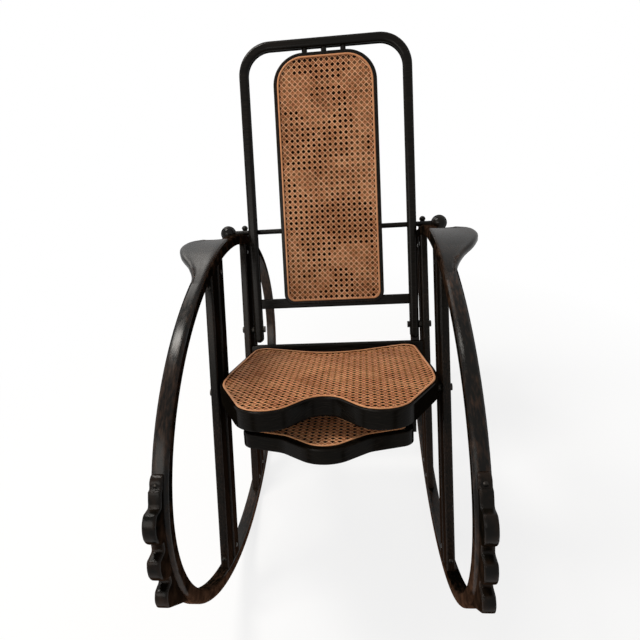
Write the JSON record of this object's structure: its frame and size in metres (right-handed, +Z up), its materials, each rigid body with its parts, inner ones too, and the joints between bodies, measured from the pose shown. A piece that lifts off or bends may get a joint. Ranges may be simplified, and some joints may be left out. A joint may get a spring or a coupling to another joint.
{
  "type": "bentwood rocking chair",
  "caption": "Bentwood rocking chair: oval side hoops with arm paddles, caned seat, caned back that folds forward, lift-out support rod, pull-out caned footrest.",
  "frame": {"origin": "on the floor, under the middle of the chair", "axes": "+X to the sitter's left-hand side as seen from the front (image right), -Y to the front, +Z up"},
  "size_m": [0.6626, 1.0866, 1.1015],
  "materials": {
    "black_lacquer": "gloss",
    "cane": "satin",
    "cane_spline": "satin",
    "dark_metal": "satin"
  },
  "bodies": {
    "frame": {"arm_left": "black_lacquer", "arm_right": "black_lacquer", "bracket_screws": "dark_metal", "footrest_runner_left": "black_lacquer", "footrest_runner_right": "black_lacquer", "front_bracket_left": "black_lacquer", "front_bracket_right": "black_lacquer", "front_slat_aft_left": "black_lacquer", "front_slat_aft_right": "black_lacquer", "front_slat_fore_left": "black_lacquer", "front_slat_fore_right": "black_lacquer", "hoop_left": "black_lacquer", "hoop_right": "black_lacquer", "pivot_bolts": "dark_metal", "pivot_spacers": "dark_metal", "rear_slat_aft_left": "black_lacquer", "rear_slat_aft_right": "black_lacquer", "rear_slat_fore_left": "black_lacquer", "rear_slat_fore_right": "black_lacquer", "recline_knobs": "black_lacquer", "seat_bolts": "dark_metal", "seat_cane": "cane", "seat_frame": "black_lacquer", "seat_rear_rail": "black_lacquer", "seat_spline": "cane_spline", "slat_screws": "dark_metal"},
    "backrest": {"back_frame": "black_lacquer", "back_rail": "black_lacquer", "panel_frame": "black_lacquer", "panel_cane": "cane", "panel_spline": "cane_spline", "back_spindles": "black_lacquer"},
    "support_rod": {"support_rod": "black_lacquer", "rod_ball_right": "black_lacquer", "rod_ball_left": "black_lacquer"},
    "footrest": {"footrest_frame": "black_lacquer", "footrest_cane": "cane", "footrest_spline": "cane_spline"}
  },
  "joints": [
    {"name": "backrest_recline", "type": "hinge", "parent": "frame", "child": "backrest", "pos_m": [0, 0.1999, 0.41733], "axis": [1, 0, 0], "range_deg": [0, 50]},
    {"name": "support_rod_lift", "type": "slide", "parent": "frame", "child": "support_rod", "axis": [0, 0.4509, 0.8926], "range_m": [0, 0.06]},
    {"name": "footrest_slide", "type": "slide", "parent": "frame", "child": "footrest", "axis": [0, -0.9466, 0.3223], "range_m": [0, 0.2]}
  ]
}
